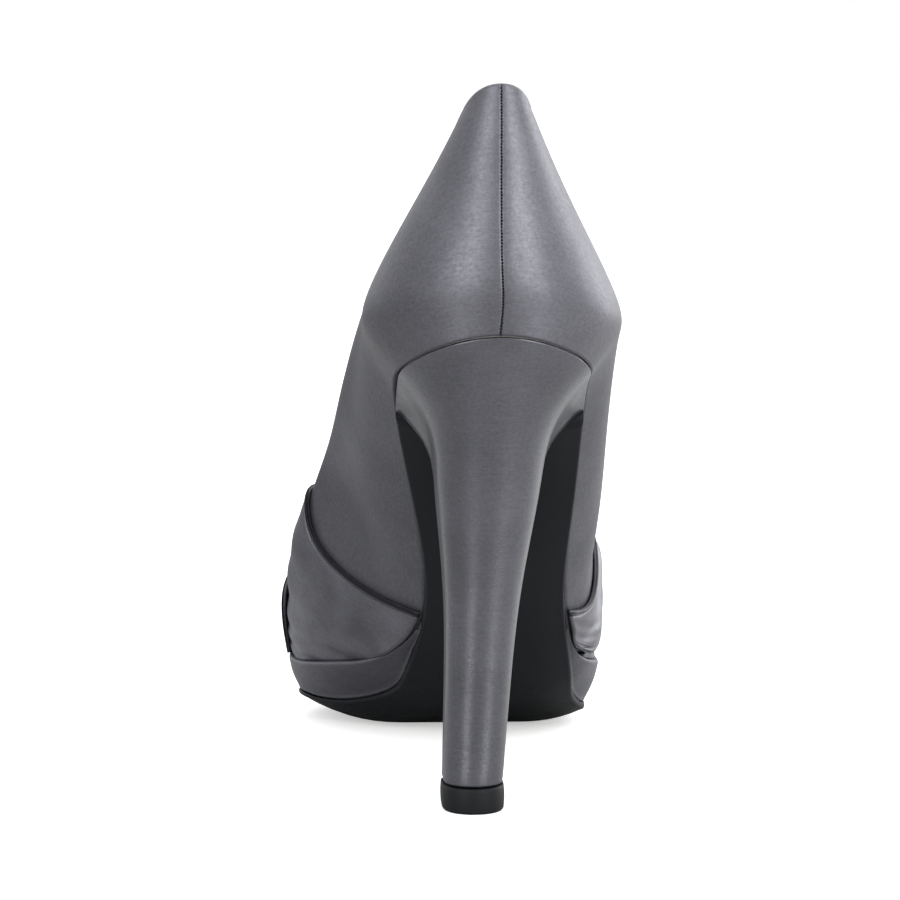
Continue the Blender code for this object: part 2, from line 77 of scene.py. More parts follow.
# Sections of the last, one row a station, in shares of LENGTH along, the heel's rise, BALL_WIDTH across and
# UPPER_HEIGHT up. A ring's lean is how far it lies forward of the feather edge, its swing how far its middle
# lies to the outer side, and its half is half its width.
STATIONS = (0, 0.106, 0.217, 0.338, 0.435, 0.502, 0.570, 0.643, 0.710, 0.773, 0.870, 1)
RISE = (1, 0.901, 0.798, 0.528, 0.299, 0.158, 0.064, 0.027, 0.006, 0, 0, 0)
SPRING = (0, 0, 0, 0, 0, 0, 0, 0, 0, 0, 0.12, 1)
FEATHER = (  # swing, half
    (-0.006, 0.278), (-0.006, 0.281), (-0.005, 0.278), (0.025, 0.240), (0.043, 0.216), (0.044, 0.239),
    (0.015, 0.306), (-0.022, 0.388), (-0.060, 0.453), (-0.079, 0.475), (-0.098, 0.452), (-0.112, 0.425),
)
LOWER = (  # lean, lift, swing, half
    (-0.010, 0.120, 0, 0.320), (0.012, 0.115, -0.005, 0.342), (0.019, 0.105, 0, 0.345),
    (0.024, 0.135, 0.008, 0.340), (0.029, 0.155, 0.024, 0.326), (0.029, 0.150, 0.025, 0.325),
    (0.024, 0.135, -0.012, 0.381), (0.019, 0.115, -0.054, 0.438), (0.012, 0.100, -0.077, 0.476),
    (0.007, 0.085, -0.083, 0.483), (0.005, 0.085, -0.100, 0.458), (0.005, 0.070, -0.112, 0.432),
)
BULGE = (  # lean, lift, swing, half
    (-0.014, 0.320, -0.004, 0.355), (0.039, 0.270, -0.010, 0.370), (0.053, 0.265, 0, 0.378),
    (0.068, 0.380, -0.012, 0.394), (0.072, 0.495, -0.022, 0.404), (0.082, 0.580, -0.040, 0.418),
    (0.068, 0.510, -0.074, 0.456), (0.048, 0.380, -0.090, 0.482), (0.034, 0.290, -0.088, 0.489),
    (0.019, 0.230, -0.085, 0.480), (0.010, 0.195, -0.100, 0.442), (0.002, 0.150, -0.112, 0.412),
)
SHOULDER = (  # lean, lift, swing, half
    (0.039, 1, 0.002, 0.162), (0.063, 0.830, -0.009, 0.155), (0.072, 0.600, -0.012, 0.292),
    (0.077, 0.690, -0.024, 0.350), (0.082, 0.790, -0.032, 0.365), (0.094, 0.750, -0.048, 0.350),
    (0.092, 0.665, -0.062, 0.350), (0.077, 0.545, -0.070, 0.360), (0.060, 0.455, -0.076, 0.364),
    (0.039, 0.400, -0.085, 0.356), (0.019, 0.320, -0.104, 0.330), (-0.014, 0.230, -0.119, 0.310),
)
CROWN = (  # lean, lift, swing
    (0.068, 1.105, -0.006), (0.111, 1.090, -0.015), (0.145, 1.000, -0.019), (0.174, 1.060, -0.031),
    (0.188, 1.030, -0.044), (0.182, 0.930, -0.050), (0.157, 0.810, -0.056), (0.118, 0.685, -0.062),
    (0.084, 0.585, -0.069), (0.058, 0.510, -0.081), (0.029, 0.400, -0.104), (-0.039, 0.250, -0.119),
)
RING_HEIGHTS = (0, 0.12, 0.32, 0.65, 1)  # where the rings lie up the wall, as shares of its girth
TOPLINE = RING_HEIGHTS[3]

# Outline of the sole, one row a station: swing and half as shares of BALL_WIDTH
SOLE = (
    (-0.006, 0.278), (-0.006, 0.281), (-0.005, 0.278), (0.025, 0.238), (0.043, 0.214), (0.048, 0.232),
    (0.043, 0.264), (0.025, 0.304), (-0.030, 0.405), (-0.080, 0.461), (-0.098, 0.438), (-0.112, 0.410),
)

# The platform's wedge, in shares of LENGTH
PLATFORM_START = 0.473  # where it begins under the covering
PLATFORM_REAR = 0.503  # where it is thick enough to be a piece
PLATFORM_FULL = 0.715
PLATFORM_FLARE = 0.12  # length of its rear in which its top comes to stand out
SOLE_DIP_START = 0.018  # how far behind its rear edge the outsole begins to make room for it
SOLE_DIP = 0.016  # length in which it does
PLATFORM_LEAST = 0.0006  # its thickness at its rear edge, in metres

# Places along the last, as shares of the way from its back to its toe round the feather edge
THROAT = 0.552
THROAT_START = 0.400  # where the topline leaves the shoulder ring
THROAT_FOOT = 0.600  # where the wall under the throat meets the feather edge
TOE_OPENING_FOOT = 0.900
TOE_OPENING_RIDGE = 0.860

# Edges of the bands, one value a place across the vamp, from the inner feather edge at -1 to the outer at 1
BAND_ACROSS = (-1, -0.90, -0.80, -0.70, -0.60, -0.35, 0, 0.40, 0.65, 0.85, 1)
UNDER_BACK = (0.486, 0.501, 0.523, 0.534, 0.528, 0.538, 0.580, 0.597, 0.586, 0.570, 0.550)
UNDER_FRONT = (0.750, 0.758, 0.766, 0.775, 0.786, 0.818, 0.845, 0.862, 0.870, 0.875, 0.880)
OVER_BACK = (0.705, 0.683, 0.664, 0.649, 0.638, 0.621, 0.602, 0.578, 0.555, 0.519, 0.484)
OVER_FRONT = (0.883, 0.878, 0.872, 0.864, 0.855, 0.830, 0.800, 0.740, 0.690, 0.640, 0.530)
BAND_CLEARANCE = 0.0004  # between a band and what it lies on
BAND_STEP = 0.020  # length of the over band's step down from the under band, in the way along the last
BAND_STEP_START = 1.25  # how far from the under band's edge the step ends, in steps

# Sections of the heel from the tip up: share of its height, swing and half width as shares from the tip to
# the seat, how far the back and the breast have moved from the tip to the seat, and the breast's hollow as a
# share of the tip's depth
HEEL_SECTIONS = (
    (0, 0, 0, 0, 0, 0.07), (0.20, 0.195, 0.036, 0.030, 0.020, 0.08), (0.50, 0.508, 0.142, 0.170, 0.120, 0.09),
    (0.745, 0.763, 0.335, 0.430, 0.340, 0.08), (0.90, 0.898, 0.560, 0.740, 0.700, 0.05), (1, 1, 1, 1, 1, 0),
)
HEEL_ROUND_SHARE = HEEL_ROUND / BREAST  # share of a heel section's depth that is round
HEEL_ROUND_TURNS = 0.8  # share of its side's points that lie there
HEEL_LEVEL_POWER = 1.35  # how much closer the sections lie towards the seat

HEEL_SIDE_POINTS = 48
HEEL_BREAST_POINTS = 16

# Finer shapes
HIGH_WALL = 0.0015  # the upper with its lining
HIGH_BAND = 0.0010
HIGH_BAND_END = 0.999  # how near the feather edge the bands reach
WELD_STEP = 4e-6  # points that are nearer than this become one
EDGE_REACH = 0.006  # beyond it, the distance to an edge isn't needed
DIFFERENCE = 1e-3  # step from which slopes and directions are worked out
SLOPE_RANGE = (0.05, 0.95)  # part of the last's way in which the sole's slope is worked out

# The back seam and the rims of the upper
SEAM_STEPS = (0, 0.0005, 0.0010, 0.0016, 0.0024, 0.0035, 0.0050, 0.0070, 0.010, 0.0135)  # columns beside it
SIDE_COLUMNS = (0.018, 1, 96)  # first, last and count of the even columns after them
VAMP_STEPS = (0.022, 0.016, 0.011, 0.007, 0.003, 0)  # columns before the toe opening
VAMP_COLUMNS = (0, 0.97, 52)
RIM_STEPS = (0.05, 0.036, 0.027, 0.020, 0.0165, 0.013, 0.010, 0.007, 0.0045, 0.002, 0)  # rows under the rim
WALL_ROWS = (0, 0.94, 62)
SEAM_DEPTH = 0.00018
SEAM_WIDTH = 0.00034
SEAM_PAINTED_SHADE = 0.75  # how dark the shade painted in the seam's groove is, from 0 to 1
SEAM_PAINTED_SHADE_WIDTH = 0.00030
SEAM_FADE = 0.0006  # length over which the seam runs out at a rim
RIM_SWELL = (0.0011, 0.0005, 0.00008)  # distance from the edge, width and height
RIM_LINE = (0.0023, 0.0004, -0.00006)

# The bands
FOLD_LINE = 0.00135  # from a band's edge to the line pressed in beside its rim
FOLD_WIDTH = 0.00022
FOLD_DEPTH = 0.00042
FOLD_RIM = (0.0014, 0.0005, 0.00026)  # where the raised rim ends, the length of its slope and its height
FOLD_SWELL = (0.0014, 0.0055, 0.003, 0.00022)  # start, end, slopes and height of the roll behind the line
FOLD_PAINTED_SHADE = (0.9, 0.00026)  # darkness and width of the shade painted in the pressed line
EDGE_PAINTED_SHADE = (0.95, 0.00085, 0.0004)  # darkness, reach and slope of the shade painted along the band's edge
BAND_SWAY = 0.00036  # depth of the bands' wide soft waves
SWAYS = ((0.023, 0.061, 0.6), (0.037, -0.019, 2.1))  # wave lengths over the vamp and along it, and turn
SWAY_START = (0.002, 0.006)  # where the waves begin, from the edges, and in what length they grow
PUCKER_START = (0.001, 0.003)
PUCKER_BEND = 1.7  # how the puckers turn across the vamp
UNDER_PUCKERS = ((-0.97, 0.12, 0.0065, 0.00005, 0.25), (0.97, 0.10, 0.0060, 0.00005, 0.2))
OVER_PUCKERS = ((0.97, 0.16, 0.0052, 0.00008, 0.35), (-0.97, 0.10, 0.0065, 0.00005, 0.2))
EDGE_STEPS = np.array((  # rows beside a band's edges
    0, 0.08, 0.18, 0.30, 0.44, 0.60, 0.80, 1.0, 1.15, 1.28, 1.40, 1.52, 1.66, 1.85, 2.2, 2.8, 3.6,
)) * 1e-3
BAND_GRID = (170, 44)  # steps over the vamp and along it between those rows
UNDER_LIFT = 0.00015  # height of the lower band's inside above the upper
OVER_SINK = 0.0001  # how much lower the upper band lies than its solid

# Soles
FULL_SIDE = 0.010  # thickness of a layer whose side has its whole fullness
CORNER_SHARE = 0.45  # most of a layer's thickness that one rounded corner takes
TOE_START = 0.94  # where the close rows at the toe begin
TOE_ROWS = 24
TOE_CLOSING = 1.5  # how much closer they lie towards the toe
SOLE_TOE = 0.9985
SOLE_ROWS = 110
PLATFORM_ROWS = 90
INSOLE_SPAN = 0.968  # share of the feather edge's way that the insole takes
INSOLE_START = 0.002
INSOLE_INSET = 0.0012
INSOLE_CUP = 0.0006  # how far its edge turns up

# Heel and top piece
HEEL_FOOT_ROUND = 0.0007
HEEL_FIRST_LEVEL = 0.02
HEEL_LEVELS = 120
SEAT_EDGE = 0.0002  # rounding of the heel's top edge
SEAT_STEPS = ((0.00006, -0.00008), (0.0002, -0.00002), (0.0007, 0), (0.0008, GAP + 0.0002))  # inset, rise
TOP_PIECE_FOOT_ROUND = 0.0008
TOP_PIECE_EDGE_ROUND = 0.0004
TOP_PIECE_FULLNESS = 0.00012

# Stitches of the back seam
STITCH_WAY = (0.004, TOPLINE * 0.995, 400)  # from, to and count of points up the wall
STITCH_PITCH = 0.00073
STITCH_ENDS = (0.0006, 0.0005)  # free length below the first and above the last
STITCH_HALF_LENGTH = (0.00023, 0.00032)  # least and most
STITCH_HALF_WIDTH = (0.00018, 0.00027)
STITCH_HEIGHT = 0.00020
STITCH_SUNK = 0.00014
STITCH_SHIFT = 0.00006  # most to either side
STITCH_LEAN = 0.35  # most, in radians
STITCH_SEED = 5

# Colours
SATIN = (0.132, 0.132, 0.148)
SOLE_BLACK = (0.012, 0.013, 0.015)
RUBBER_BLACK = (0.009, 0.010, 0.011)
THREAD_BLACK = (0.004, 0.004, 0.005)
LINING = (0.30, 0.29, 0.28)

# Satin: scales of its noises, the shares of threads, slubs and specks in its shade, and its tones
SATIN_THREADS = (650.0, 3400.0)  # noise scales along and across the threads
SATIN_SLUBS = (200.0, 1500.0)
SATIN_CLOUDS = 48.0
SATIN_SPECKS = 1300.0
SATIN_SHARES = (0.36, 0.22, 0.42)
SATIN_TONES = (0.80, 1.20)
SHADE_RANGE = (0.32, 0.68)  # noise that gives the least and the most shade
CLOUD_RANGE = (0.35, 0.65)
# share of the satin's colour at the darkest of its painted shade
PAINTED_SHADE_TONE = 0.06
SATIN_BUMPS = (0.22, 0.20, 0.4)  # strengths of threads, specks and clouds
SATIN_GRAIN_DEPTH = 0.00012
SATIN_CLOUD_DEPTH = 0.0012

# Studio, in metres and watts
FLOOR_REACH = 12.0
FLOOR_TONE = 0.87
FLOOR_GLOW = 0.45
CARD_DROP = 0.0002  # how far the card that the satin mirrors lies under the floor that the camera sees
CARD_TONES = (0.27, 0.80)  # painted light: its tones on the left and the right, lighter on the right where more light falls
CARD_HALF = 0.5  # where on either side it reaches them
PAINTED_POOLS = 2.4  # painted pools of light: glow on the card where the two front boxes would light the floor
POOL_RISE = (0.38, 0.62)  # directions between which a pool of light begins, as x over y
POOL_FALL = (0.85, 1.15)
POOL_CLEAR = (0.18, 0.36)  # distances in front of the shoe between which it begins
FILL = (0.45, 1.20)  # light of the surroundings, from behind the camera and from elsewhere
FILL_EDGE = (-0.98, -0.78)  # directions between which the one becomes the other
FILL_SIDE = 0.28  # how much more of it comes from the right
LIGHT_TARGET = (0, 0.05, 0.09)
SOFT_BOXES = (  # name, place, width, height, power
    ("left_box", (-0.72, -0.84, 0.35), 0.50, 1.3, 9.0),
    ("right_box", (0.76, -0.85, 0.35), 0.50, 1.3, 11.0),
    ("right_edge_box", (0.95, 0.75, 0.35), 0.6, 0.9, 6.0),
    ("top", (0.1, 0.3, 1.5), 1.6, 1.6, 8.0),
)

# Camera
CAMERA_SPOT = (-0.0479, -0.9293, 0.1757)
CAMERA_LENS = 161.7
CAMERA_DOWN = 5.62  # degrees
CAMERA_RIGHT = 2.62

TIP_MIDDLE = np.array((TIP_SWING, TIP_BACK + TIP_DEPTH / 2, 0))


def spline_weights(knots, at, flat_ends=(True, True)):
    """Weights on the knots' values of the smooth cubic through them, at each of the places asked for."""
    knots = np.asarray(knots, float)
    at = np.clip(np.atleast_1d(np.asarray(at, float)), knots[0], knots[-1])
    n = len(knots)
    h = np.diff(knots)
    left, right = np.zeros((n, n)), np.zeros((n, n))
    for i in range(1, n - 1):
        left[i, i - 1:i + 2] = h[i - 1], 2 * (h[i - 1] + h[i]), h[i]
        right[i, i - 1:i + 2] = 6 / h[i - 1], -6 / h[i - 1] - 6 / h[i], 6 / h[i]
    for row, near, step, flat in ((0, 1, h[0], flat_ends[0]), (n - 1, n - 2, h[-1], flat_ends[1])):
        left[row, row] = 2 * step if flat else 1
        if flat:
            left[row, near] = step
            right[row, row], right[row, near] = -6 / step, 6 / step
    bend = np.linalg.solve(left, right)
    i = np.clip(np.searchsorted(knots, at, side="right") - 1, 0, n - 2)
    a = (knots[i + 1] - at) / h[i]
    b = 1 - a
    weights = np.zeros((len(at), n))
    rows = np.arange(len(at))
    weights[rows, i] += a
    weights[rows, i + 1] += b
    weights += ((a**3 - a) * h[i] ** 2 / 6)[:, None] * bend[i]
    weights += ((b**3 - b) * h[i] ** 2 / 6)[:, None] * bend[i + 1]
    return weights


def along(s):
    """Distance along the foot of the feather edge at s, as a share of LENGTH."""
    return (1 - np.cos(np.pi * np.asarray(s, float))) / 2


def place(share):
    """The s of a share of LENGTH."""
    return np.arccos(1 - 2 * np.asarray(share, float)) / np.pi


def smooth_step(x):
    x = np.clip(x, 0, 1)
    return x * x * (3 - 2 * x)


def end_round(s):
    """Share of the full width that the plan has at s: less than 1 where the heel and the toe are round."""
    y = LENGTH * along(s)
    back = 1 - np.clip(1 - y / HEEL_ROUND, 0, 1) ** BACK_POWER
    toe = 1 - np.clip(1 - (LENGTH - y) / TOE_ROUND, 0, 1) ** TOE_POWER
    return np.sqrt(back * toe)


STATION_PLACES = place(STATIONS)


def edge_shape(u):
    """How far up its edge's lift the sole is, across the half width: 0 over its flat middle."""
    return (np.maximum(np.abs(u - SOLE_FLAT_SWING) - SOLE_FLAT, 0) / (1 - SOLE_FLAT)) ** SOLE_EDGE_POWER


def stations(table, s):
    """The table's columns at s."""
    return (spline_weights(STATION_PLACES, s) @ np.asarray(table, float)).T


def sole_edge_lift(s):
    """Rise of the sole's edge over its middle, less where the sole is narrow."""
    widest = max(half for swing, half in SOLE)
    return SOLE_EDGE_LIFT * (stations(SOLE, s)[1] / widest) ** SOLE_NARROW_POWER


def slope(s):
    """How much longer the sole is along the arch than in plan."""
    low, high = (np.clip(s + step, *SLOPE_RANGE) for step in (-DIFFERENCE, DIFFERENCE))
    climb = rise_at(high) - rise_at(low)
    run = LENGTH * (along(high) - along(low))
    return np.sqrt(1 + (climb * (HEEL_HEIGHT - FOREFOOT_HEIGHT) / np.maximum(run, 1e-6)) ** 2)


def rise_at(s):
    return stations(np.array(RISE)[:, None], s)[0]


FOREFOOT_HEIGHT = 2 * GAP + PLATFORM_HEIGHT + SOLE_THICKNESS + SOLE_EDGE_LIFT - SOLE_EDGE_THINNING


def feather_height(s):
    spring = stations(np.array(SPRING)[:, None], s)[0]
    return FOREFOOT_HEIGHT + rise_at(s) * (HEEL_HEIGHT - FOREFOOT_HEIGHT) + TOE_SPRING * spring


def seat_height(y):
    """Height of what stands or lies under the feather edge, at a distance along the foot."""
    s = place(np.clip(y, 0, LENGTH) / LENGTH)
    return feather_height(s.ravel()).reshape(s.shape) - GAP


def last_rings(s, side):
    """The five rings at s: arrays of x, y and z, ring by ring. side is -1 inside and 1 outside."""
    round_share = end_round(s)
    base_y = LENGTH * along(s)
    base_z = feather_height(s)
    swing, half = stations(FEATHER, s)
    rings = [(BALL_WIDTH * (swing + side * half * round_share), base_y, base_z)]
    for table in (LOWER, BULGE, SHOULDER):
        lean, lift, swing, half = stations(table, s)
        x = BALL_WIDTH * (swing + side * half * round_share)
        rings.append((x, base_y + LENGTH * lean, base_z + UPPER_HEIGHT * lift))
    lean, lift, swing = stations(CROWN, s)
    rings.append((BALL_WIDTH * swing, base_y + LENGTH * lean, base_z + UPPER_HEIGHT * lift))
    return np.array(rings)


def last(g, s):
    """Outside of the upper. g runs from -1 at the inner feather edge over the ridge at 0 to 1 at the outer
    one, and s from the back to the toe."""
    g, s = np.broadcast_arrays(np.asarray(g, float), np.asarray(s, float))
    shape = g.shape
    g, s = np.clip(g.ravel(), -1, 1), np.clip(s.ravel(), 0, 1)
    side = np.where(g < 0, -1.0, 1.0)
    up = 1 - np.abs(g)
    rings = last_rings(s, side)
    across = spline_weights(RING_HEIGHTS, up, (False, False)).T
    level = spline_weights(RING_HEIGHTS, up, (False, True)).T
    point = [(weights * rings[:, axis]).sum(0) for axis, weights in enumerate((across, level, level))]
    return np.stack(point, -1).reshape(shape + (3,))


def last_normal(g, s):
    """Unit normal of the last, pointing out."""
    g, s = np.broadcast_arrays(np.asarray(g, float), np.asarray(s, float))
    over = last(np.clip(g + DIFFERENCE, -1, 1), s) - last(np.clip(g - DIFFERENCE, -1, 1), s)
    on = last(g, np.clip(s + DIFFERENCE, 0, 1)) - last(g, np.clip(s - DIFFERENCE, 0, 1))
    normal = np.cross(over, on)
    return normal / np.linalg.norm(normal, axis=-1, keepdims=True)


def offset_last(g, s, height):
    return last(g, s) + last_normal(g, s) * np.asarray(height)[..., None]


def plan_outline(table, s, side, margin=0.0):
    """Outline in plan of a table of swing and half, moved out by a margin. Returns x and y."""
    def point(at):
        swing, half = stations(table, at)
        return BALL_WIDTH * (swing + side * half * end_round(at)), LENGTH * along(at)

    x, y = point(s)
    x_on, y_on = point(np.clip(s + DIFFERENCE, 0, 1))
    x_back, y_back = point(np.clip(s - DIFFERENCE, 0, 1))
    dx, dy = x_on - x_back, y_on - y_back
    size = np.hypot(dx, dy)
    return x + side * margin * dy / size, y - side * margin * dx / size


def platform_share(s):
    return smooth_step((along(s) - PLATFORM_START) / (PLATFORM_FULL - PLATFORM_START))


def sole_underside(s):
    """Height of the middle of the outsole's underside."""
    free = feather_height(s) - GAP - SOLE_THICKNESS * slope(s) - sole_edge_lift(s) + SOLE_EDGE_THINNING
    return np.maximum(free - (PLATFORM_HEIGHT + GAP) * platform_share(s) - SOLE_WEAR, 0)


def sole_top(s, u):
    """Top of the outsole: under the upper in the waist, under the platform in the forefoot."""
    s = s[:, None]
    full = sole_underside(s.ravel()) + SOLE_THICKNESS * slope(s.ravel())
    lift = (sole_edge_lift(s.ravel()) - SOLE_EDGE_THINNING * platform_share(s.ravel()))[:, None]
    free = full[:, None] + lift * edge_shape(u)
    under_platform = smooth_step((along(s) - PLATFORM_REAR + SOLE_DIP_START) / SOLE_DIP)
    ceiling = feather_height(s.ravel())[:, None] - GAP - (PLATFORM_LEAST + GAP) * under_platform
    return np.minimum(free, ceiling)


def grid_faces(count, rows, columns):
    """Quads of a grid of vertices that starts at number count."""
    for i in range(rows - 1):
        for j in range(columns - 1):
            a = count + i * columns + j
            yield a, a + 1, a + columns + 1, a + columns


def topline(t):
    """The collar's edge, from the back at 0 to the throat at 1: its s and how far up the wall it is."""
    s = THROAT * np.sin(np.pi / 2 * t)
    turn = np.clip((s - THROAT_START) / (THROAT - THROAT_START), 0, 1)
    return s, TOPLINE + (1 - TOPLINE) * (1 - np.sqrt(1 - turn**2))


def band_edge(table, g):
    return spline_weights(BAND_ACROSS, g, (False, False)) @ np.asarray(table, float)


def over_lift(g, s):
    """Height of the over band's inside above the upper. It lies on the under band and steps down beyond."""
    flat = g.ravel()
    behind = (s - band_edge(UNDER_BACK, flat).reshape(s.shape)) / BAND_STEP + BAND_STEP_START
    ahead = (band_edge(UNDER_FRONT, flat).reshape(s.shape) - s) / BAND_STEP + BAND_STEP_START
    return BAND_CLEARANCE + (BAND_WALL + BAND_CLEARANCE) * smooth_step(behind) * smooth_step(ahead)


def heel_section(level):
    """One ring of the heel in plan, from the inner breast corner round the back to the outer one, then back
    along the breast."""
    columns = np.asarray(HEEL_SECTIONS, float)
    weights = spline_weights(columns[:, 0], level, (False, False))[0]
    swing, half, back, breast, hollow = weights @ columns[:, 1:]
    seat_swing, seat_half = BALL_WIDTH * stations(FEATHER, place(BREAST / LENGTH))[:, 0]
    half_width = TIP_WIDTH / 2 * (1 - half) + seat_half * half
    middle = TIP_SWING * (1 - swing) + seat_swing * swing
    back_y = TIP_BACK * (1 - back)
    breast_y = (TIP_BACK + TIP_DEPTH) * (1 - breast) + BREAST * breast
    depth = (breast_y - back_y) * HEEL_ROUND_SHARE
    turns = np.linspace(0, 1, HEEL_SIDE_POINTS + 1)
    bend = np.clip(turns / HEEL_ROUND_TURNS, 0, 1) * np.pi / 2
    y = back_y + depth * (1 - np.cos(bend) ** (2 / BACK_POWER))
    y += np.clip((turns - HEEL_ROUND_TURNS) / (1 - HEEL_ROUND_TURNS), 0, 1) * (breast_y - back_y - depth)
    x = half_width * np.sin(bend)
    ring = [(middle - a, b) for a, b in zip(x[::-1], y[::-1])]
    ring += [(middle + a, b) for a, b in zip(x[1:], y[1:])]
    for i in range(1, HEEL_BREAST_POINTS + 1):
        w = i / (HEEL_BREAST_POINTS + 1)
        ring_y = breast_y - TIP_DEPTH * hollow * math.sin(math.pi * w)
        ring.append((middle + half_width * (1 - 2 * w), ring_y))
    return np.array(ring)


def weld(points, faces):
    """Joins the points that coincide and drops the corners that this leaves double."""
    key = np.round(points / WELD_STEP).astype(np.int64)
    _, first, number = np.unique(key, axis=0, return_index=True, return_inverse=True)
    number = number.ravel()
    rings = [[number[i] for i in face] for face in faces]
    rings = [[a for a, b in zip(ring, ring[1:] + ring[:1]) if a != b] for ring in rings]
    return first, [ring for ring in rings if len(set(ring)) > 2]


def point_normals(points, faces):
    """Unit normals at the points, from the faces round each."""
    normals = np.zeros_like(points)
    quads = np.array([face if len(face) == 4 else (*face[:3], face[2]) for face in faces])
    corners = points[quads]
    facing = np.cross(corners[:, 2] - corners[:, 0], corners[:, 3] - corners[:, 1])
    for i in range(4):
        np.add.at(normals, quads[:, i], facing)
    return normals / np.maximum(np.linalg.norm(normals, axis=1, keepdims=True), 1e-15)


def border_edges(faces):
    """Edges that only one face uses, in the direction of that face."""
    edges = [edge for face in faces for edge in zip(face, face[1:] + face[:1])]
    seen = set(edges)
    return [(a, b) for a, b in edges if (b, a) not in seen]


def distance_to(points, edges):
    """Distance of each point to the nearest of these edges, up to EDGE_REACH."""
    steps = np.linspace(0, 1, 9)[:-1]
    samples = np.concatenate([points[a] + (points[b] - points[a]) * steps[:, None] for a, b in edges])
    tree = KDTree(len(samples))
    for i, sample in enumerate(samples):
        tree.insert(sample, i)
    tree.balance()
    return np.array([min(tree.find(p)[2], EDGE_REACH) for p in points])


def corner(steps):
    """Steps round a corner of radius 1: how far each draws in and how far it lies from the end."""
    return [(1 - math.sin(turn), 1 - math.cos(turn)) for turn in np.linspace(0, math.pi / 2, steps)]


def run(points, axis=0):
    """Length of the way to each point along an axis of a grid, from its start."""
    steps = np.linalg.norm(np.diff(points, axis=axis), axis=-1)
    start = np.zeros_like(np.take(steps, [0], axis=axis))
    return np.concatenate([start, np.cumsum(steps, axis=axis)], axis=axis)


def ridge(distance, middle, width):
    """A soft ridge, 1 high, at a distance from an edge."""
    return np.exp(-((distance - middle) / width) ** 2)


def rounded(d, wall):
    """How far a wall's face draws in at a distance from its rounded edge."""
    x = np.clip(1 - d / (wall / 2), 0, 1)
    return wall / 2 * (1 - np.sqrt(1 - x**2))


def put(name, data):
    item = bpy.data.objects.new(name, data)
    bpy.context.scene.collection.objects.link(item)
    return item


def new_piece(name, points, faces, uv, surface, slot, *nodes, painted_shade=None):
    """A mesh in the last's frame that stands for CAD nodes. Its last argument is how dark the shade painted
    at each point is.
    """
    mesh = bpy.data.meshes.new(name)
    mesh.from_pydata((points - TIP_MIDDLE).tolist(), [], faces)
    layer = mesh.uv_layers.new(name="cloth")
    loops = np.empty(len(mesh.loops), dtype=np.int32)
    mesh.loops.foreach_get("vertex_index", loops)
    layer.data.foreach_set("uv", np.asarray(uv)[loops].astype(np.float32).ravel())
    if painted_shade is not None:
        # painted shade: how dark each point is, for the satin's colour
        darkness = mesh.attributes.new("painted_shade", "FLOAT", "POINT")
        darkness.data.foreach_set("value", np.asarray(painted_shade, np.float32))
    mesh.shade_smooth()
    mesh.materials.append(surface)
    item = put(name, mesh)
    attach(item, "root")
    for node in nodes:
        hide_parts(node)
    return item


def skin(points, faces, uv, wall, rounds, relief, painted_shade_of, out=False):
    """A closed wall on an open surface: points, faces, uv, count of outer faces and each point's painted
    shade.
    rounds says which border points are on rounded edges, relief and the next function give the outer face's
    height and painted shade from the distance to them, and out puts the wall outside the surface."""
    first, faces = weld(points, faces)
    points, uv = points[first], uv[first]
    normals = point_normals(points, faces)
    edges = border_edges(faces)
    near = distance_to(points, [(a, b) for a, b in edges if rounds(first[a]) and rounds(first[b])])
    draw = rounded(near, wall)
    base = wall if out else 0.0
    outer = points + normals * (base - draw + relief(first, near))[:, None]
    inner = points + normals * (base - wall + draw)[:, None]
    count = len(points)
    all_faces = faces + [[i + count for i in face[::-1]] for face in faces]
    all_faces += [[b, a, a + count, b + count] for a, b in edges]
    # painted shade goes on the outer face only
    painted_shade = np.concatenate([painted_shade_of(first, near), np.zeros(count)])
    return np.concatenate([outer, inner]), all_faces, np.concatenate([uv, uv]), len(faces), painted_shade


def upper_sides():
    """The fine grids of the inner and the outer side: side, g and s."""
    t = np.concatenate([SEAM_STEPS, np.linspace(*SIDE_COLUMNS)])
    v = np.concatenate([np.linspace(*VAMP_COLUMNS)[1:], 1 - np.array(VAMP_STEPS)])
    w = np.concatenate([np.linspace(*WALL_ROWS), 1 - np.array(RIM_STEPS)])
    for side in (-1, 1):
        yield side, *upper_mesh(side, t, v, w)


def make_high_upper(surface, lining):
    points, faces, uv, seam, foot = [], [], [], [], []
    for side, g, s in upper_sides():
        grid = last(g, s)
        new = grid_faces(len(points), *g.shape)
        faces += [list(face[::-1] if side > 0 else face) for face in new]
        points += list(grid.reshape(-1, 3))
        middle = np.broadcast_to(run(grid[:, g.shape[1] // 2])[:, None], g.shape)
        uv += list(np.stack([side * middle, run(grid, 1)], -1).reshape(-1, 2))
        seam += list(run(grid).ravel())
        foot += list((np.abs(g) == 1).ravel())
    points, uv, seam, foot = np.array(points), np.array(uv), np.array(seam), np.array(foot)

    def relief(index, near):
        """The back seam, which is a groove, and the folded rim with the line pressed in under it."""
        groove = -SEAM_DEPTH * ridge(seam[index], 0, SEAM_WIDTH) * smooth_step(near / SEAM_FADE)
        for middle, width, height in (RIM_SWELL, RIM_LINE):
            groove = groove + height * ridge(near, middle, width)
        return groove

    # painted shade in the back seam's groove, fading out at the rims
    def painted_shade_of(index, near):
        return SEAM_PAINTED_SHADE * ridge(seam[index], 0, SEAM_PAINTED_SHADE_WIDTH) * smooth_step(near / SEAM_FADE)

    points, faces, uv, outside, painted_shade = skin(
        points, faces, uv, HIGH_WALL, lambda i: not foot[i], relief, painted_shade_of)
    item = new_piece("satin_upper", points, faces, uv, surface, "upper_satin", "upper", painted_shade=painted_shade)
    item.data.materials.append(lining)
    marks = np.zeros(len(item.data.polygons), dtype=np.int32)
    marks[outside:2 * outside] = 1
    item.data.polygons.foreach_set("material_index", marks)


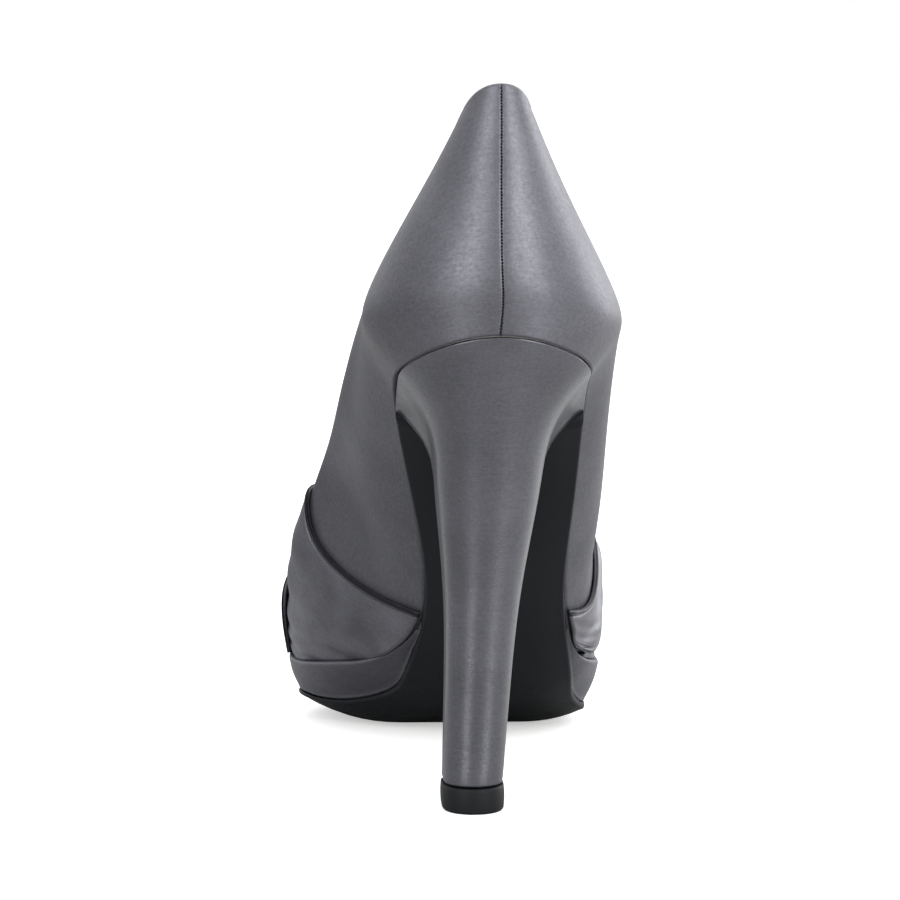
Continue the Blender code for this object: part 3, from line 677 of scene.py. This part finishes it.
def upper_mesh(side, t, v, w):
    """The g and s of a fine grid over one side of the upper, as in the solid."""
    collar_s, collar_up = topline(t)
    head_s = np.concatenate([collar_s, THROAT + (TOE_OPENING_RIDGE - THROAT) * v])
    head_up = np.concatenate([collar_up, np.ones(len(v))])
    foot_s = np.concatenate([THROAT_FOOT * t, THROAT_FOOT + (TOE_OPENING_FOOT - THROAT_FOOT) * v])
    ease = w * (2 - w)
    s = foot_s[:, None] * (1 - ease) + head_s[:, None] * ease
    up = head_up[:, None] * w
    return side * (1 - up), s


def band_points(back, front):
    """A fine grid over a band with close rows along its back and front edges: g, s and the way along it."""
    across, on = BAND_GRID
    g = np.linspace(-HIGH_BAND_END, HIGH_BAND_END, across + 1)
    low, high = band_edge(back, g), band_edge(front, g)
    coarse = np.linspace(0, 1, 25)
    spine = last(g[:, None], low[:, None] * (1 - coarse) + high[:, None] * coarse)
    width = run(spine, 1)[:, -1]
    edge = EDGE_STEPS / width[:, None]
    inner = edge[:, -1:] + (1 - 2 * edge[:, -1:]) * np.linspace(0, 1, on + 1)[1:-1]
    w = np.concatenate([edge, inner, 1 - edge[:, ::-1]], axis=1)
    s = low[:, None] * (1 - w) + high[:, None] * w
    return np.broadcast_to(g[:, None], s.shape), s, width[:, None] * w


def make_high_band(name, node, back, front, lift, surface, puckers):
    """A band with folded edges. A pucker's row has its middle, reach, pitch, depth and turn."""
    g, s, along_width = band_points(back, front)
    grid = offset_last(g, s, lift(g, s))
    faces = [list(face[::-1]) for face in grid_faces(0, *g.shape)]
    flat_g, flat_d, flat_length = g.ravel(), along_width.ravel(), run(grid).ravel()
    uv = np.column_stack([flat_length, flat_d])
    ends = np.abs(flat_g) == HIGH_BAND_END

    def relief(index, near):
        """A folded edge: a thin raised rim, a line pressed in beside it, and soft folds towards the ends."""
        over, on = flat_length[index], flat_d[index]
        rim_end, rim_slope, rim = FOLD_RIM
        start, end, slope, swell = FOLD_SWELL
        height = -FOLD_DEPTH * ridge(near, FOLD_LINE, FOLD_WIDTH)
        height = height + rim * smooth_step((rim_end - near) / rim_slope)
        height = height + swell * smooth_step((near - start) / slope) * smooth_step((end - near) / slope)
        sway = sum(np.sin(2 * math.pi * (over / wide + on / deep) + turn) for wide, deep, turn in SWAYS)
        height = height + BAND_SWAY * sway * smooth_step((near - SWAY_START[0]) / SWAY_START[1])
        for middle, reach, pitch, depth, turn in puckers:
            fade = ridge(flat_g[index], middle, reach)
            fade = fade * smooth_step((near - PUCKER_START[0]) / PUCKER_START[1])
            wave = np.sin(2 * math.pi * (on + turn * over) / pitch + PUCKER_BEND * flat_g[index])
            height = height + depth * fade * wave
        return height

    # painted shade in the line pressed in beside the rim and along the band's edge
    def painted_shade_of(index, near):
        fold = FOLD_PAINTED_SHADE[0] * ridge(near, FOLD_LINE, FOLD_PAINTED_SHADE[1])
        dark, reach, slope = EDGE_PAINTED_SHADE
        return np.minimum(fold + dark * smooth_step((reach - near) / slope), 1)

    points, faces, uv, _, painted_shade = skin(
        grid.reshape(-1, 3), faces, uv, HIGH_BAND, lambda i: not ends[i], relief, painted_shade_of, out=True)
    new_piece(name, points, faces, uv, surface, "band_satin", node, painted_shade=painted_shade)


def side_ring(table, s, margin):
    """Round a sole in plan: the inner side from the back to the toe, then the outer side back again."""
    inner, outer = plan_outline(table, s, -1, margin), plan_outline(table, s, 1, margin)
    return np.column_stack([np.concatenate([inner[i], outer[i][::-1]]) for i in (0, 1)])


def layered(name, s, tables, margins, heights, radii, fullness, surface, slot, node):
    """A sole-shaped layer with rounded edges and a slightly full side. In each pair the top comes first."""
    top_ring, low_ring = (side_ring(table, s, margin) for table, margin in zip(tables, margins))
    out = (side_ring(tables[0], s, margins[0] + DIFFERENCE) - top_ring) / DIFFERENCE
    sides, u_side = np.concatenate([s, s[::-1]]), np.repeat((-1.0, 1.0), len(s))
    top_z, low_z = (
        height(sides, u_side, ring[:, 1]) for height, ring in zip(heights, (top_ring, low_ring)))
    thick = np.maximum(top_z - low_z, 1e-4)
    top_round, low_round = (np.minimum(radius, thick * CORNER_SHARE) for radius in radii)
    rings = [
        (top_ring - out * (top_round * inset)[:, None], top_z - top_round * drop)
        for inset, drop in corner(7)]
    for q in np.linspace(0, 1, 12)[1:-1]:
        full = fullness * math.sin(math.pi * q) * thick / FULL_SIDE
        level = (top_z - top_round) * (1 - q) + (low_z + low_round) * q
        rings.append((top_ring * (1 - q) + low_ring * q + out * full[:, None], level))
    rings += [
        (low_ring - out * (low_round * inset)[:, None], low_z + low_round * rise)
        for inset, rise in corner(6)[::-1]]
    size, half, u = len(sides), len(s), np.linspace(-1, 1, 25)
    points = [np.column_stack(ring) for ring in rings]
    round_way = run(top_ring)
    uv = [np.column_stack([round_way, z]) for plan, z in rings]
    faces = [list(face) for face in grid_faces(0, len(rings), size)]
    last_start = (len(rings) - 1) * size
    backs = []
    for plan, height, base in ((rings[0][0], heights[0], 0), (rings[-1][0], heights[1], last_start)):
        start = sum(len(p) for p in points)
        left, right, blend = plan[:half].T[..., None], plan[half:][::-1].T[..., None], (u[1:-1] + 1) / 2
        x, y = left * (1 - blend) + right * blend
        z = height(np.broadcast_to(s[:, None], x.shape), np.broadcast_to(u[1:-1], x.shape), y)
        points.append(np.stack([x, y, z], -1).reshape(-1, 3))
        uv.append(np.stack([x, y], -1).reshape(-1, 2))
        number = np.empty((half, len(u)), dtype=int)
        number[:, 0] = base + np.arange(half)
        number[:, -1] = base + size - 1 - np.arange(half)
        number[:, 1:-1] = start + np.arange(x.size).reshape(x.shape)
        for face in grid_faces(0, *number.shape):
            ring = [number.flat[i] for i in face]
            faces.append(ring if base == 0 else ring[::-1])
        backs.append(list(number[0]))
    column = [level * size for level in range(len(rings))]
    back = backs[0] + [c + size - 1 for c in column[1:]] + backs[1][::-1][1:] + column[1:-1][::-1]
    faces.append(back[::-1])
    faces = [[int(i) for i in face] for face in faces]
    new_piece(name, np.concatenate(points), faces, np.concatenate(uv), surface, slot, node)


def moved(plan, distance):
    """A ring in plan moved out by a distance along its normals."""
    way = np.roll(plan, -1, axis=0) - np.roll(plan, 1, axis=0)
    way /= np.linalg.norm(way, axis=1, keepdims=True)
    return plan + np.column_stack([way[:, 1], -way[:, 0]]) * distance


def at_height(plan, z):
    return np.column_stack([plan, np.broadcast_to(z, len(plan))])


def tube_faces(count, rings, size):
    """Quads between closed rings of vertices that start at number count."""
    faces = []
    for low in range(count, count + (rings - 1) * size, size):
        for i in range(size):
            j = (i + 1) % size
            faces.append([low + i, low + j, low + size + j, low + size + i])
    return faces


def stack_piece(name, rings, surface, slot, node):
    """A closed body through rings that are in the order of heel_section."""
    size = len(rings[0])
    faces = tube_faces(0, len(rings), size)
    faces += [list(range(size))[::-1], list(range((len(rings) - 1) * size, len(rings) * size))]
    uv = []
    for ring in rings:
        way = run(ring[:, :2])
        uv.append(np.column_stack([way - way[HEEL_SIDE_POINTS], ring[:, 2]]))
    new_piece(name, np.concatenate(rings), faces, np.concatenate(uv), surface, slot, node)


def make_high_heel(surface):
    foot = TOP_PIECE_HEIGHT + GAP
    base = heel_section(0)
    rings = [
        at_height(moved(base, -HEEL_FOOT_ROUND * inset), foot + HEEL_FOOT_ROUND * rise)
        for inset, rise in corner(6)]
    for level in 1 - (1 - np.linspace(HEEL_FIRST_LEVEL, 1, HEEL_LEVELS)) ** HEEL_LEVEL_POWER:
        plan = heel_section(level)
        rings.append(at_height(plan, foot + level * (seat_height(plan[:, 1]) - SEAT_EDGE - foot)))
    for inset, rise in SEAT_STEPS:
        plan = moved(heel_section(1), -inset)
        rings.append(at_height(plan, seat_height(plan[:, 1]) + rise))
    stack_piece("satin_heel", rings, surface, "heel_satin", "heel")


def make_high_top_piece(surface):
    base = moved(heel_section(0), TOP_PIECE_MARGIN)
    foot, edge = TOP_PIECE_FOOT_ROUND, TOP_PIECE_EDGE_ROUND
    rings = [at_height(moved(base, -foot * inset), foot * rise) for inset, rise in corner(7)]
    for q in np.linspace(0, 1, 8)[1:-1]:
        plan = moved(base, TOP_PIECE_FULLNESS * math.sin(math.pi * q))
        rings.append(at_height(plan, foot + q * (TOP_PIECE_HEIGHT - foot - edge)))
    for inset, drop in corner(5)[::-1]:
        rings.append(at_height(moved(base, -edge * inset), TOP_PIECE_HEIGHT - edge * drop))
    stack_piece("rubber_top_piece", rings, surface, "top_piece_black", "top_piece")


def make_stitches(surface):
    """Short dark stitches that close the back seam, each a small round body."""
    up = np.linspace(*STITCH_WAY)
    path, normal = last(up - 1, 0.0), last_normal(up - 1, 0.0)
    normal[:, 0] = 0
    normal /= np.linalg.norm(normal, axis=1, keepdims=True)
    way = run(path)

    def read(values, at):
        return np.array([np.interp(at, way, values[:, i]) for i in range(3)])

    chance = np.random.default_rng(STITCH_SEED)
    turns, lifts = np.linspace(0, 2 * math.pi, 9)[:-1], np.linspace(-math.pi / 2, math.pi / 2, 7)
    points, faces = [], []
    for at in np.arange(STITCH_ENDS[0], way[-1] - STITCH_ENDS[1], STITCH_PITCH):
        centre, out = read(path, at), read(normal, at)
        ahead = read(path, at + 1e-4) - centre
        ahead /= np.linalg.norm(ahead)
        aside = np.cross(ahead, out)
        lean = chance.uniform(-STITCH_LEAN, STITCH_LEAN)
        long, wide = chance.uniform(*STITCH_HALF_LENGTH), chance.uniform(*STITCH_HALF_WIDTH)
        shift = chance.uniform(-STITCH_SHIFT, STITCH_SHIFT)
        cos, sin = math.cos(lean), math.sin(lean)
        ahead, aside = ahead * cos + aside * sin, aside * cos - ahead * sin
        centre = centre - out * STITCH_SUNK + aside * shift
        faces += tube_faces(len(points), len(lifts), len(turns))
        for lift in lifts:
            for turn in turns:
                rim = aside * wide * math.cos(turn) + out * STITCH_HEIGHT * math.sin(turn)
                points.append(centre + ahead * long * math.sin(lift) + math.cos(lift) * rim)
    points = np.array(points)
    new_piece("seam_stitches", points, faces, points[:, :2], surface, "upper_satin")


class Nodes:
    """The node tree of a material or world, with short calls for making and linking nodes."""

    def __init__(self, owner):
        owner.use_nodes = True
        self.owner = owner
        self.tree = owner.node_tree
        self.shader = self.tree.nodes.get("Principled BSDF")

    def add(self, kind, settings=None, **inputs):
        node = self.tree.nodes.new("ShaderNode" + kind)
        for name, value in (settings or {}).items():
            setattr(node, name, value)
        for name, value in inputs.items():
            socket = node.inputs[int(name[1:])] if name[0] == "_" else node.inputs[name.replace("_", " ")]
            if isinstance(value, bpy.types.NodeSocket):
                self.tree.links.new(value, socket)
            else:
                socket.default_value = value
        return node

    def noise(self, where, scale, detail, roughness=0.5):
        node = self.add("TexNoise", Vector=where, Scale=scale, Detail=detail, Roughness=roughness)
        return node.outputs["Fac"]

    def math(self, operation, *values):
        values = {"_%d" % i: value for i, value in enumerate(values)}
        return self.add("Math", {"operation": operation}, **values).outputs[0]

    def ramp(self, value, low, high, to_low=0.0, to_high=1.0, kind="LINEAR"):
        ends = {"From_Min": low, "From_Max": high, "To_Min": to_low, "To_Max": to_high}
        return self.add("MapRange", {"interpolation_type": kind}, Value=value, **ends).outputs[0]

    def mix(self, factor, a, b, kind="MIX"):
        settings = {"data_type": "RGBA", "blend_type": kind}
        return self.add("Mix", settings, Factor=factor, _6=a, _7=b).outputs[2]

    def bump(self, height, strength, distance, **normal):
        return self.add("Bump", Strength=strength, Distance=distance, Height=height, **normal).outputs[0]

    def link(self, output, name):
        self.tree.links.new(output, self.shader.inputs[name])

    def set(self, **values):
        for name, value in values.items():
            self.shader.inputs[name.replace("_", " ")].default_value = value


def toned(colour, share):
    return (*(c * share for c in colour), 1)


def satin(name, gloss=(0.57, 0.46), clouds=(0.90, 1.10), relief=1.0, threads=SATIN_THREADS):
    """Satin: fine long threads that run along the cloth's first direction, and soft cloudy shading. gloss is
    the roughness of dark and of light threads."""
    n = Nodes(bpy.data.materials.new(name))
    cloth = n.add("UVMap", {"uv_map": "cloth"}).outputs[0]
    here = n.add("TexCoord").outputs["Object"]
    fine = n.noise(n.add("Mapping", Vector=cloth, Scale=(*threads, 1)).outputs[0], 1.0, 3.0, 0.6)
    slub = n.noise(n.add("Mapping", Vector=cloth, Scale=(*SATIN_SLUBS, 1)).outputs[0], 1.0, 2.0)
    cloud = n.noise(here, SATIN_CLOUDS, 3.0)
    speck = n.noise(here, SATIN_SPECKS, 2.0, 0.6)
    shade = 0.0
    for part, share in zip((fine, slub, speck), SATIN_SHARES):
        shade = n.math("MULTIPLY_ADD", part, share, shade)
    shade = n.ramp(shade, *SHADE_RANGE)
    cloth_colour = n.mix(shade, *(toned(SATIN, share) for share in SATIN_TONES))
    cloth_colour = n.mix(1.0, cloth_colour, n.ramp(cloud, *CLOUD_RANGE, *clouds), "MULTIPLY")
    # painted shade: where the mesh's painted shade is strong, the colour goes towards a dark share of the
    # satin
    painted_shade = n.add("Attribute", {"attribute_name": "painted_shade"}).outputs["Fac"]
    n.link(n.mix(painted_shade, cloth_colour, toned(SATIN, PAINTED_SHADE_TONE)), "Base Color")
    n.link(n.ramp(shade, 0.0, 1.0, *gloss), "Roughness")
    of_threads, of_specks, of_clouds = SATIN_BUMPS
    bump = n.bump(fine, of_threads * relief, SATIN_GRAIN_DEPTH)
    bump = n.bump(speck, of_specks * relief, SATIN_GRAIN_DEPTH, Normal=bump)
    n.link(n.bump(cloud, of_clouds, SATIN_CLOUD_DEPTH, Normal=bump), "Normal")
    n.link(n.add("Tangent", {"direction_type": "UV_MAP", "uv_map": "cloth"}).outputs[0], "Tangent")
    n.set(Metallic=0.85, Anisotropic=0.45, Anisotropic_Rotation=0.25)
    return n.owner


def plain(name, colour, roughness, grain, depth, level=0.5):
    """A smooth moulded or leather surface with a fine grain, and slight changes in colour and gloss."""
    n = Nodes(bpy.data.materials.new(name))
    here = n.add("TexCoord").outputs["Object"]
    small = n.noise(here, grain, 3.0, 0.6)
    n.link(n.mix(n.noise(here, 40.0, 2.0), toned(colour, 0.82), toned(colour, 1.18)), "Base Color")
    n.link(n.ramp(small, 0.0, 1.0, roughness - 0.08, roughness + 0.08), "Roughness")
    n.link(n.bump(small, 0.3, depth), "Normal")
    n.set(Specular_IOR_Level=level)
    return n.owner


def paper(name, left, right, glow, pools=0.0):
    """Matt paper with a faint warm tone, its tones on the left and the right, and a glow of its own. On the
    hidden card the tones are painted light, lighter on the right where more light falls. pools is the
    strength of two pools of light painted on it as a glow in front of the shoe."""
    n = Nodes(bpy.data.materials.new(name))
    here = n.add("TexCoord").outputs["Object"]
    place_of = n.add("SeparateXYZ", Vector=here).outputs
    # tone from left to right; on the card it is painted light, lighter on the right where more light falls
    tone = n.ramp(place_of["X"], -CARD_HALF, CARD_HALF, left, right)
    tone = n.math("MULTIPLY_ADD", n.noise(here, 2.0, 1.0), 0.01, tone)
    n.link(n.mix(tone, (0, 0, 0, 1), (1, 1, 0.983, 1)), "Base Color")
    n.set(Roughness=0.9, Specular_IOR_Level=0.1, Emission_Color=(1, 1, 0.99, 1), Emission_Strength=glow)
    if pools:
        # painted pools of light: a glow in two wedges in front of the shoe, where the front boxes would light
        # the floor
        before = n.math("MAXIMUM", n.math("MULTIPLY", place_of["Y"], -1.0), 0.02)
        ratio = n.math("DIVIDE", n.math("ABSOLUTE", place_of["X"]), before)
        share = n.ramp(ratio, *POOL_RISE, kind="SMOOTHSTEP")
        share = n.math("MULTIPLY", share, n.ramp(ratio, *POOL_FALL, 1.0, 0.0, "SMOOTHSTEP"))
        share = n.math("MULTIPLY", share, n.ramp(before, *POOL_CLEAR, kind="SMOOTHSTEP"))
        n.link(n.math("MULTIPLY", share, pools), "Emission Strength")
    return n.owner


def lay_floor(name, height, surface):
    mesh = bpy.data.meshes.new(name)
    corners = [(x * FLOOR_REACH, y * FLOOR_REACH, height) for x, y in ((-1, -1), (1, -1), (1, 1), (-1, 1))]
    mesh.from_pydata(corners, [], [(0, 1, 2, 3)])
    mesh.materials.append(surface)
    item = put(name, mesh)
    return item


def soft_box(name, spot, width, height, power):
    light = bpy.data.lights.new(name, "AREA")
    light.shape = "RECTANGLE"
    light.size, light.size_y, light.energy = width, height, power
    item = put(name, light)
    item.location = spot
    item.rotation_euler = (Vector(LIGHT_TARGET) - Vector(spot)).to_track_quat("-Z", "Y").to_euler()
    item.visible_camera = False


def surroundings():
    """A world that the camera sees white, and that lights the shoe less from behind the camera."""
    world = bpy.data.worlds.new("studio")
    bpy.context.scene.world = world
    n = Nodes(world)
    seen = n.tree.nodes["Background"]
    seen.inputs["Color"].default_value = (1, 1, 1, 1)
    toward = n.add("SeparateXYZ", Vector=n.add("TexCoord").outputs["Generated"]).outputs
    strength = n.math("MULTIPLY_ADD", toward["X"], FILL_SIDE, n.ramp(toward["Y"], *FILL_EDGE, *FILL))
    fill = n.add("Background", Color=(0.97, 0.98, 1, 1), Strength=strength).outputs[0]
    is_seen = n.add("LightPath").outputs["Is Camera Ray"]
    both = n.add("MixShader", _0=is_seen, _1=fill, _2=seen.outputs[0]).outputs[0]
    n.tree.links.new(both, n.tree.nodes["World Output"].inputs["Surface"])


def studio():
    bpy.context.scene.view_settings.view_transform = "Standard"
    floor = lay_floor("floor", 0, paper("floor_paper", FLOOR_TONE, FLOOR_TONE, FLOOR_GLOW))
    floor.visible_diffuse = floor.visible_glossy = False
    # a card hidden from the camera that the satin mirrors: painted light, darker on the left and lighter on
    # the right, with painted pools of light
    card = lay_floor("floor_card", -CARD_DROP, paper("floor_card", *CARD_TONES, 0.0, PAINTED_POOLS))
    card.visible_camera = False
    surroundings()
    for box in SOFT_BOXES:
        soft_box(*box)


def camera():
    view = bpy.data.cameras.new("photo_view")
    item = put("photo_view", view)
    view.sensor_width = 36.0
    view.lens = CAMERA_LENS
    view.clip_start = 0.01
    view.clip_end = 100.0
    item.location = CAMERA_SPOT
    item.rotation_euler = (math.radians(90 - CAMERA_DOWN), 0, math.radians(-CAMERA_RIGHT))
    bpy.context.scene.camera = item


def make_bands(surface):
    make_high_band(
        "satin_band_under", "band_under", UNDER_BACK, UNDER_FRONT,
        lambda g, s: np.full(g.shape, UNDER_LIFT), surface, UNDER_PUCKERS)
    make_high_band(
        "satin_band_over", "band_over", OVER_BACK, OVER_FRONT,
        lambda g, s: over_lift(g, s) - OVER_SINK, surface, OVER_PUCKERS)


def outsole_low(s, u, y):
    lift = sole_edge_lift(s.ravel()) * edge_shape(u).ravel()
    return (sole_underside(s.ravel()) + lift).reshape(s.shape)


def outsole_top(s, u, y):
    return sole_top(s.ravel(), u.reshape(-1, 1)).reshape(s.shape)


def insole_low(s, u, y):
    return seat_height(y) + GAP


def insole_top(s, u, y):
    return insole_low(s, u, y) + INSOLE_THICKNESS + INSOLE_CUP * np.abs(u) ** 4


def make_soles(black, satin_surface, lining):
    to_toe = np.linspace(0, 1, TOE_ROWS)[1:]
    near_toe = 1 - (1 - TOE_START) * (1 - to_toe) ** TOE_CLOSING
    breast, rear = place((BREAST + GAP) / LENGTH), place(PLATFORM_REAR)
    sole_s = np.concatenate([np.linspace(breast, TOE_START, SOLE_ROWS), near_toe * SOLE_TOE])
    layered(
        "black_outsole", sole_s, (SOLE, SOLE), (0, 0), (outsole_top, outsole_low), (0.0004, 0.0009), 0,
        black, "outsole_black", "outsole")
    platform_s = np.concatenate([np.linspace(rear, TOE_START, PLATFORM_ROWS), near_toe * SOLE_TOE])
    flare = PLATFORM_MARGIN * smooth_step((along(platform_s) - PLATFORM_REAR) / PLATFORM_FLARE)
    layered(
        "satin_platform", platform_s, (FEATHER, SOLE), (flare, 0),
        (lambda s, u, y: seat_height(y), lambda s, u, y: outsole_top(s, u, y) + GAP), (0.0008, 0.0006),
        0.0005, satin_surface, "platform_satin", "platform")
    middle = np.linspace(1 - TOE_START, TOE_START, PLATFORM_ROWS)
    insole_s = np.concatenate([1 - near_toe[::-1], middle, near_toe]) * INSOLE_SPAN + INSOLE_START
    layered(
        "lining_insole", insole_s, (FEATHER, FEATHER), (-INSOLE_INSET, -INSOLE_INSET),
        (insole_top, insole_low), (0.0004, 0.0003), 0, lining, "insole_lining", "insole")


def build():
    lining = plain("lining_leather", LINING, roughness=0.6, grain=900.0, depth=0.0001)
    make_high_upper(satin("grey_satin_upper"), lining)
    make_bands(satin("grey_satin_bands", gloss=(0.48, 0.38), clouds=(0.76, 1.26)))
    make_stitches(plain(
        "seam_thread_black", THREAD_BLACK, roughness=0.7, grain=3000.0, depth=0.00002, level=0.05))
    make_high_heel(satin("grey_satin_heel", gloss=(0.38, 0.28), relief=1.5, threads=(800.0, 3600.0)))
    make_high_top_piece(plain(
        "top_piece_black_rubber", RUBBER_BLACK, roughness=0.5, grain=1500.0, depth=0.00005, level=0.14))
    make_soles(
        plain("sole_black_gloss", SOLE_BLACK, roughness=0.42, grain=500.0, depth=0.00003, level=0.10),
        satin("grey_satin_platform"), lining)


camera()
studio()
build()
